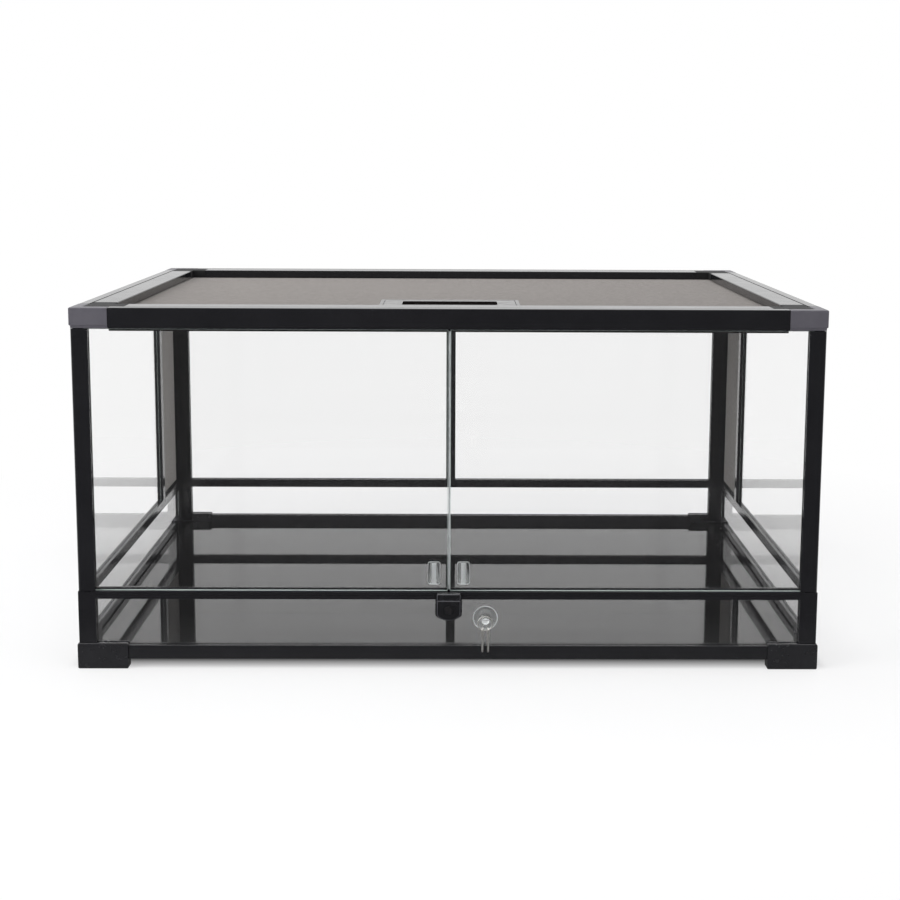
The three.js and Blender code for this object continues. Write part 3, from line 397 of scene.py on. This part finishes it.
def enterEdit(obj, mode="FACE"):
    only(obj)
    bpy.ops.object.mode_set(mode="EDIT")
    bpy.ops.mesh.select_mode(type=mode)
    bpy.ops.mesh.select_all(action="SELECT")


def leaveEdit():
    bpy.ops.object.mode_set(mode="OBJECT")


def applyModifier(obj, name, kind, **settings):
    only(obj)
    mod = obj.modifiers.new(name, kind)
    for key, value in settings.items():
        setattr(mod, key, value)
    bpy.ops.object.modifier_apply(modifier=mod.name)


def smoothByAngle(obj, degrees=35):
    only(obj)
    bpy.ops.object.shade_smooth_by_angle(angle=math.radians(degrees))


def settle(obj):
    # place, turn and size go into the mesh
    only(obj)
    bpy.ops.object.transform_apply(location=True, rotation=True, scale=True)


def cleanMesh(obj):
    # one vertex a corner and one face a flat, so that bevels find only the true edges
    enterEdit(obj, "VERT")
    bpy.ops.mesh.remove_doubles(threshold=mergeWithin)
    bpy.ops.mesh.dissolve_limited(angle_limit=flatWithin)
    leaveEdit()


def bodyOf(nodeName):
    for body, names in frame["record"]["behaviour"]["bodies"].items():
        if nodeName in names:
            return body
    return None


def finishPiece(obj, name, nodeName, finish):
    obj.name = name
    obj.data.name = name
    obj.data.materials.clear()
    obj.data.materials.append(finishes[finish])
    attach(obj, bodyOf(nodeName))
    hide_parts(nodeName)


def coatFaces(obj, finish, test):
    # a second finish on the faces that pass the test
    obj.data.materials.append(finishes[finish])
    for face in obj.data.polygons:
        if test(face):
            face.material_index = len(obj.data.materials) - 1


def copyOfNode(nodeName):
    node = frame["nodes"][nodeName]
    hidden = node.hide_viewport
    node.hide_viewport = False
    only(node)
    bpy.ops.object.duplicate()
    obj = bpy.context.object
    node.hide_viewport = hidden
    obj.hide_viewport = obj.hide_render = False
    for key in list(obj.keys()):
        del obj[key]
    obj.parent = None
    obj.data.materials.clear()
    cleanMesh(obj)
    return obj


def edged(obj, width, segments=2, angle=30):
    applyModifier(obj, "edge", "BEVEL", width=width, segments=segments, limit_method="ANGLE",
                  angle_limit=math.radians(angle), miter_outer="MITER_ARC", use_clamp_overlap=True)
    smoothByAngle(obj)
    # the broad faces keep their own flat shading, and only the rounded edge turns
    applyModifier(obj, "flats", "WEIGHTED_NORMAL", mode="FACE_AREA", weight=100, keep_sharp=True)


def makeBlock(name, low, high):
    # a box between two corners
    deselectAll()
    middle = [(a + b) / 2 for a, b in zip(low, high)]
    bpy.ops.mesh.primitive_cube_add(size=1, location=middle)
    block = bpy.context.object
    block.name = name
    block.scale = [b - a for a, b in zip(low, high)]
    settle(block)
    return block


def pick(obj, kind, test):
    # selects the vertices, edges or faces that pass the test, and goes into edit mode
    only(obj)
    bpy.ops.object.mode_set(mode="EDIT")
    bpy.ops.mesh.select_mode(type={"vertices": "VERT", "edges": "EDGE", "polygons": "FACE"}[kind])
    bpy.ops.mesh.select_all(action="DESELECT")
    bpy.ops.object.mode_set(mode="OBJECT")
    for item in getattr(obj.data, kind):
        item.select = bool(test(item))
    bpy.ops.object.mode_set(mode="EDIT")


def roundAlong(obj, axis, width, segments):
    # rounds the edges that run along one axis
    points = [v.co.copy() for v in obj.data.vertices]
    run = "xyz".index(axis)

    def along(edge):
        a, b = edge.vertices
        return abs((points[b] - points[a]).normalized()[run]) > 0.99
    pick(obj, "edges", along)
    bpy.ops.mesh.bevel(offset=width, segments=segments, affect="EDGES")
    leaveEdit()


def combined(obj, tool, operation):
    # joins or cuts with another solid, which is used up
    applyModifier(obj, "combine", "BOOLEAN", operation=operation, object=tool, solver="EXACT")
    deselectAll()
    bpy.data.objects.remove(tool, do_unlink=True)
    cleanMesh(obj)
    return obj


def spunProfile(name, profile, centre, steps):
    # draws (radius, distance to the front) points in millimetres and spins them about an axis along Y
    deselectAll()
    bpy.ops.mesh.primitive_plane_add(size=0.001, location=(0, 0, 0))
    turned = bpy.context.object
    turned.name = name
    enterEdit(turned, "VERT")
    bpy.ops.mesh.merge(type="CENTER")
    place = Vector((0, 0, 0))
    for count, (radius, forward) in enumerate(profile):
        target = Vector((radius / 1000, -forward / 1000, 0))
        move = {"value": target - place}
        if count == 0:
            bpy.ops.transform.translate(value=target)
        else:
            bpy.ops.mesh.extrude_region_move(TRANSFORM_OT_translate=move)
        place = target
    bpy.ops.mesh.select_all(action="SELECT")
    bpy.ops.mesh.spin(steps=steps, angle=2 * math.pi, center=(0, 0, 0), axis=(0, 1, 0))
    bpy.ops.mesh.select_all(action="SELECT")
    bpy.ops.mesh.remove_doubles(threshold=0.000005)
    bpy.ops.mesh.normals_make_consistent(inside=False)
    leaveEdit()
    turned.location = centre
    settle(turned)
    return turned


def trimmed(obj, axis, at, keepAbove):
    # cuts straight across one axis and closes the cut
    enterEdit(obj)
    normal = [0, 0, 0]
    normal["xyz".index(axis)] = 1
    point = [at * n for n in normal]
    bpy.ops.mesh.bisect(plane_co=point, plane_no=normal, use_fill=True,
                        clear_inner=keepAbove, clear_outer=not keepAbove)
    leaveEdit()


# frame bars

barEdges = {
    "edge": 0.00035,
    "barX": ["top_rail_front", "top_rail_rear", "bottom_rail_front", "bottom_rail_rear", "door_sill",
             "belt_rail_rear", "lid_rail_front", "lid_rail_rear"],
    "barY": ["top_rail_left", "top_rail_right", "bottom_rail_left", "bottom_rail_right",
             "belt_rail_left", "belt_rail_right"],
    "barZ": ["post_front_left", "post_front_right", "lower_post_front_left", "lower_post_front_right",
             "post_rear_left", "post_rear_right", "rear_centre_bar", "vent_divider_left",
             "vent_divider_right", "door_stile_left", "door_stile_right"],
}


def makeBars():
    for finish in ("barX", "barY", "barZ"):
        for nodeName in barEdges[finish]:
            bar = copyOfNode(nodeName)
            edged(bar, barEdges["edge"])
            finishPiece(bar, nodeName + ".bar", nodeName, finish)


makeBars()
print("frame bars done")

# lid side rails and their corner mouldings

lidCorner = {"length": 0.049, "gap": 0.00015, "edge": 0.0009}


def makeLidSides():
    for side in ("left", "right"):
        nodeName = "lid_rail_" + side
        low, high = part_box(nodeName)
        frontCut = low.y + lidCorner["length"]
        rearCut = high.y - lidCorner["length"]
        rail = copyOfNode(nodeName)
        trimmed(rail, "y", frontCut + lidCorner["gap"], True)
        trimmed(rail, "y", rearCut - lidCorner["gap"], False)
        edged(rail, barEdges["edge"])
        finishPiece(rail, nodeName + ".bar", nodeName, "barY")
        for end, at, above in (("front", frontCut, False), ("rear", rearCut, True)):
            corner = copyOfNode(nodeName)
            trimmed(corner, "y", at, above)
            edged(corner, lidCorner["edge"], 3)
            finishPiece(corner, "lid_corner_%s_%s" % (end, side), nodeName, "lidCorner")


makeLidSides()
print("lid frame done")

# caps and feet

mouldings = {"capEdge": 0.0006, "footEdge": 0.0007}


def makeMouldings():
    for corner in ("front_left", "front_right", "rear_left", "rear_right"):
        cap = copyOfNode("top_cap_" + corner)
        edged(cap, mouldings["capEdge"])
        finishPiece(cap, "top_cap_%s.moulding" % corner, "top_cap_" + corner, "cap")
        foot = copyOfNode("foot_" + corner)
        edged(foot, mouldings["footEdge"])
        finishPiece(foot, "foot_%s.moulding" % corner, "foot_" + corner, "foot")


makeMouldings()
print("mouldings done")

# panes and floor

panes = {
    "arris": 0.0004,
    "panelEdge": 0.0004,
    "fixed": ["lower_glass_front", "lower_glass_rear", "lower_glass_left", "lower_glass_right",
              "rear_glass_left", "rear_glass_right", "upper_glass_left", "upper_glass_right"],
    "doors": ["door_glass_left", "door_glass_right"],
}


def makePanes():
    for nodeName in panes["fixed"] + panes["doors"]:
        pane = copyOfNode(nodeName)
        edged(pane, panes["arris"], 1)
        finishPiece(pane, nodeName + ".pane", nodeName, "pane")
        pane.data.materials.append(finishes["paneEdge"])
        size = pane.dimensions
        thin = list(size).index(min(size))
        for face in pane.data.polygons:
            face.material_index = 0 if abs(face.normal[thin]) > 0.95 else 1
    panel = copyOfNode("floor_panel")
    edged(panel, panes["panelEdge"])
    finishPiece(panel, "floor_panel.gloss", "floor_panel", "floor")


makePanes()

doorSeal = {"width": 0.0022, "depth": 0.0034, "fromPane": 0.0001, "endGap": 0.002, "edge": 0.0004}


def makeDoorSeal():
    # the soft strip that closes the slit between the doors, carried by the right one
    nodeName = "door_glass_right"
    low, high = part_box(nodeName)
    middle = (low.y + high.y) / 2
    right = low.x - doorSeal["fromPane"]
    bottom = low.z + doorSeal["endGap"]
    top = high.z - doorSeal["endGap"]
    seal = makeBlock("doorSeal", (right - doorSeal["width"], middle - doorSeal["depth"] / 2, bottom),
                     (right, middle + doorSeal["depth"] / 2, top))
    edged(seal, doorSeal["edge"], 3)
    finishPiece(seal, "door_seal", nodeName, "strip")


makeDoorSeal()
print("panes done")

# nets

net = {
    "pitch": 0.0021,
    "wire": 0.00026,
    "lift": 0.8,                # how far the two layers of wire lie off the middle, in wire radii
    "rim": 0.007,
    "rimEdge": 0.0006,
    "rimGrip": 0.0015,          # how far the vent's wires reach under its rim
    "lidEdge": 0.002,           # from the lid net's outline to its last wire
    "hatchGrip": 0.0042,        # how far the lid's wires reach under the hatch
    "sides": 6,
    "smooth": 70,               # degrees
}


def wireRun(direction, across, start, end, first, last, level):
    # one straight wire, repeated at the net's pitch from first to last
    count = int(abs(last - first) / net["pitch"]) + 1
    place = [0, 0, 0]
    place["xyz".index(direction)] = (start + end) / 2
    place["xyz".index(across)] = first
    third = [a for a in "xyz" if a not in (direction, across)][0]
    place["xyz".index(third)] = level
    turn = {"x": (0, math.pi / 2, 0), "y": (math.pi / 2, 0, 0), "z": (0, 0, 0)}[direction]
    deselectAll()
    bpy.ops.mesh.primitive_cylinder_add(vertices=net["sides"], radius=net["wire"], depth=abs(end - start),
                                        end_fill_type="NGON", location=place, rotation=turn)
    wire = bpy.context.object
    settle(wire)
    step = [0, 0, 0]
    step["xyz".index(across)] = math.copysign(net["pitch"], last - first)
    applyModifier(wire, "repeat", "ARRAY", count=count, use_relative_offset=False,
                  use_constant_offset=True, constant_offset_displace=step)
    return wire


def joined(parts):
    deselectAll()
    for part in parts:
        part.select_set(True)
    bpy.context.view_layer.objects.active = parts[0]
    bpy.ops.object.join()
    return bpy.context.object


def makeLidNet():
    low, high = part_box("lid_screen")
    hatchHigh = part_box("hatch_frame")[1]
    level = (low.z + high.z) / 2
    lift = net["wire"] * net["lift"]
    half = hatchHigh.x - net["hatchGrip"]
    rear = hatchHigh.y - net["hatchGrip"]
    edge = net["lidEdge"]
    parts = [
        wireRun("x", "y", low.x, high.x, rear + net["pitch"], high.y - edge, level + lift),
        wireRun("x", "y", low.x, -half, low.y + edge, rear, level + lift),
        wireRun("x", "y", half, high.x, low.y + edge, rear, level + lift),
        wireRun("y", "x", low.y, high.y, -half - net["pitch"], low.x + edge, level - lift),
        wireRun("y", "x", low.y, high.y, half + net["pitch"], high.x - edge, level - lift),
        wireRun("y", "x", rear, high.y, -half, half, level - lift),
    ]
    lidNet = joined(parts)
    smoothByAngle(lidNet, net["smooth"])
    finishPiece(lidNet, "lid_net", "lid_screen", "lidWire")


def makeVent(side):
    nodeName = "vent_screen_" + side
    low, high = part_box(nodeName)
    level = (low.x + high.x) / 2
    lift = net["wire"] * net["lift"]
    inset = net["rim"] - net["rimGrip"]
    parts = [
        wireRun("y", "z", low.y + inset, high.y - inset, low.z + inset, high.z - inset, level + lift),
        wireRun("z", "y", low.z + inset, high.z - inset, low.y + inset, high.y - inset, level - lift),
    ]
    ventNet = joined(parts)
    smoothByAngle(ventNet, net["smooth"])
    finishPiece(ventNet, "vent_net_" + side, nodeName, "ventWire")
    rim = makeBlock("ventRim", low, high)
    pick(rim, "polygons", lambda face: abs(face.normal.x) > 0.9)
    bpy.ops.mesh.inset(thickness=net["rim"], use_individual=True)
    bpy.ops.mesh.bridge_edge_loops()
    bpy.ops.mesh.select_all(action="SELECT")
    bpy.ops.mesh.normals_make_consistent(inside=False)
    leaveEdit()
    edged(rim, net["rimEdge"], 2)
    finishPiece(rim, "vent_rim_" + side, nodeName, "barZ")


makeLidNet()
for ventSide in ("left", "right"):
    makeVent(ventSide)
print("nets done")

# feeding hatch

hatchEdges = {"hatch_frame": 0.0005, "hatch_door": 0.0004}


def makeHatch():
    for nodeName, width in hatchEdges.items():
        piece = copyOfNode(nodeName)
        edged(piece, width)
        finishPiece(piece, nodeName + ".moulding", nodeName, "hatch")


makeHatch()
print("hatch done")

# lock

lockEdges = {                   # finish, finish of the front edge (on the housing and bolt a paler plastic that paints the edge highlight, on the plug real nickel), width of the edges
    "lock_housing": ("lock", "lockEdgeHighlight", 0.0007),
    "lock_bolt": ("lock", "lockEdgeHighlight", 0.0005),
    "lock_plug": ("darkNickel", "nickel", 0.0005),
}


def makeLock():
    for nodeName, (finish, rimFinish, width) in lockEdges.items():
        piece = copyOfNode(nodeName)
        edged(piece, width, 3)
        finishPiece(piece, nodeName + ".cast", nodeName, finish)
        # the front edge faces get the second finish: on the housing and bolt it is a painted highlight
        coatFaces(piece, rimFinish, lambda face: -0.96 < face.normal.y < -0.3)


makeLock()
print("lock done")

# door pulls

pulls = {
    "plateDepth": 0.0024,
    "corner": 0.003,
    "rim": 0.0005,
    "ribEdge": 0.0002,
    "bossEdge": 0.0003,
    "bossSteps": 32,
    "gripHalf": 0.003,
    "gripEnd": 0.0015,
    "ribs": 9,
    "waist": 0.7,               # width between two ribs, as a share of the grip
    "bossRadius": 0.0034,
    "bossWall": 0.0012,
    "bossBack": 0.0008,
    "dish": 0.0014,
}


def makeGrip(low, high, middle):
    bottom = low.z + pulls["gripEnd"]
    top = high.z - pulls["gripEnd"]
    half = pulls["gripHalf"]
    grip = makeBlock("pullGrip", (middle - half, low.y, bottom),
                     (middle + half, high.y - pulls["plateDepth"] / 2, top))
    step = (top - bottom) / (2 * pulls["ribs"])
    waists = [bottom + step * n for n in range(1, 2 * pulls["ribs"])]
    for level in waists:
        enterEdit(grip)
        bpy.ops.mesh.bisect(plane_co=(middle, low.y, level), plane_no=(0, 0, 1))
        leaveEdit()
    for level in waists[::2]:
        pick(grip, "vertices", lambda vert: abs(vert.co.z - level) < 0.00005)
        bpy.ops.transform.resize(value=(pulls["waist"], 1, 1), center_override=(middle, low.y, level))
        leaveEdit()
    edged(grip, pulls["ribEdge"], 2, 20)
    return grip


def makeBoss(low, high, middle):
    front = low.y + pulls["bossBack"]
    back = high.y - pulls["plateDepth"] / 2
    place = (middle, (front + back) / 2, low.z + pulls["gripEnd"] + pulls["bossRadius"])
    deselectAll()
    bpy.ops.mesh.primitive_cylinder_add(vertices=pulls["bossSteps"], radius=pulls["bossRadius"],
                                        depth=back - front, location=place,
                                        rotation=(math.pi / 2, 0, 0))
    boss = bpy.context.object
    settle(boss)
    pick(boss, "polygons", lambda face: face.normal.y < -0.9)
    bpy.ops.mesh.inset(thickness=pulls["bossWall"])
    bpy.ops.mesh.extrude_region_move(TRANSFORM_OT_translate={"value": (0, pulls["dish"], 0)})
    leaveEdit()
    edged(boss, pulls["bossEdge"])
    return boss


def makePulls():
    for side in ("left", "right"):
        nodeName = "door_handle_" + side
        low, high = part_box(nodeName)
        middle = (low.x + high.x) / 2
        pull = makeBlock("pullPlate", (low.x, high.y - pulls["plateDepth"], low.z), high)
        roundAlong(pull, "y", pulls["corner"], 5)
        edged(pull, pulls["rim"], 3)
        pull = combined(pull, makeGrip(low, high, middle), "UNION")
        pull = combined(pull, makeBoss(low, high, middle), "UNION")
        smoothByAngle(pull)
        finishPiece(pull, "door_pull_" + side, nodeName, "pull")
        ribStart = high.y - pulls["plateDepth"] - 0.0001
        # the ribs and sides of the pull are painted pale as highlights
        coatFaces(pull, "pullRibHighlight", lambda face: abs(face.normal.y) < 0.97 or face.center.y < ribStart)


makePulls()
print("pulls done")

# suction cup

cup = {
    # radius and distance forward in mm, from the hollow over the lip to the knob
    "profile": [(0, 3.1), (3, 2.9), (5.5, 2.2), (8, 1.4), (11, 0.7), (14.5, 0.0), (15.2, 0.15), (15.4, 0.5),
                (15.2, 0.85), (14.4, 1.05), (11, 1.7), (8, 2.4), (6, 3.1), (4.8, 4.1), (4, 5.2), (3.3, 6.2),
                (3, 7), (3, 9.4), (3.3, 10), (4.2, 10.2), (4.8, 10.6), (5, 11.2), (5, 12.2), (4.8, 12.8),
                (4.3, 13.1), (0, 13.1)],
    "steps": 72,
    "lip": 0.0008,              # the frosted outer edge, painted pale as a highlight
    "slots": 4,
    "slotPitch": 0.0021,
    "slotHeight": 0.0008,
    "slotDepth": 0.0009,
}


def makeCup():
    low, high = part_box("suction_cup")
    centre = Vector(((low.x + high.x) / 2, high.y, (low.z + high.z) / 2))
    body = spunProfile("suctionCup", cup["profile"], centre, cup["steps"])
    for count in range(cup["slots"]):
        level = centre.z + (count - (cup["slots"] - 1) / 2) * cup["slotPitch"]
        slot = makeBlock("knobSlot", (low.x, low.y - 0.001, level - cup["slotHeight"] / 2),
                         (high.x, low.y + cup["slotDepth"], level + cup["slotHeight"] / 2))
        body = combined(body, slot, "DIFFERENCE")
    smoothByAngle(body, 40)
    finishPiece(body, "suction_cup.moulding", "suction_cup", "cup")
    lip = (high.x - low.x) / 2 - cup["lip"]
    # the rim and the stripes on the knob's front are painted pale as highlights
    coatFaces(body, "cupLipHighlight", lambda face: (
        math.hypot(face.center.x - centre.x, face.center.z - centre.z) > lip
        or (face.normal.y < -0.9 and face.center.y < low.y + cup["slotDepth"] / 2)
    ))


makeCup()
print("cup done")

# split ring and keys

ringWire = {"across": 0.00066, "thick": 0.00033, "pitch": 2.1, "turns": 2, "steps": 64, "sides": 12}
keyCut = {"halfWidth": 0.0005, "depth": 0.0004, "from": 0.0032, "length": 0.0135, "edge": 0.00018}


def makeRing():
    low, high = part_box("key_ring")
    centre = (low + high) / 2
    radius = (high.x - low.x) / 2 - (high.y - low.y) / 2
    deselectAll()
    bpy.ops.mesh.primitive_circle_add(vertices=ringWire["sides"], radius=1, location=(radius, 0, 0))
    ring = bpy.context.object
    ring.scale = (ringWire["across"], ringWire["thick"], 1)
    settle(ring)
    applyModifier(ring, "coil", "SCREW", axis="Y", angle=2 * math.pi, iterations=ringWire["turns"],
                  screw_offset=ringWire["pitch"] * ringWire["thick"], steps=ringWire["steps"],
                  render_steps=ringWire["steps"], use_normal_calculate=True)
    low, high = (Vector([f(v.co[i] for v in ring.data.vertices) for i in range(3)]) for f in (min, max))
    ring.location = Vector(centre) - (low + high) / 2
    settle(ring)
    pick(ring, "vertices", lambda vert: True)
    bpy.ops.mesh.fill_holes(sides=0)
    bpy.ops.mesh.select_all(action="SELECT")
    bpy.ops.mesh.normals_make_consistent(inside=False)
    leaveEdit()
    smoothByAngle(ring, 50)
    finishPiece(ring, "key_ring.coil", "key_ring", "nickel")


def makeKeys():
    for nodeName in ("key_left", "key_right"):
        low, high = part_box(nodeName)
        key = copyOfNode(nodeName)
        broad = max(key.data.polygons, key=lambda face: face.area).normal.copy()
        flats = [v.co.dot(broad) for v in key.data.vertices]
        middle = Vector(((low.x + high.x) / 2, (low.y + high.y) / 2, low.z + keyCut["from"]))
        half = (max(flats) - min(flats)) / 2
        for way in (-1, 1):
            # the milled groove down each side of the blade
            mill = makeBlock("keyMill", (half - keyCut["depth"], -keyCut["halfWidth"], 0),
                             (half + 0.001, keyCut["halfWidth"], keyCut["length"]))
            mill.rotation_euler.z = math.atan2(broad.y * way, broad.x * way)
            mill.location = middle
            settle(mill)
            key = combined(key, mill, "DIFFERENCE")
        edged(key, keyCut["edge"])
        finishPiece(key, nodeName + ".metal", nodeName, "nickel")


makeRing()
makeKeys()
print("ring and keys done")
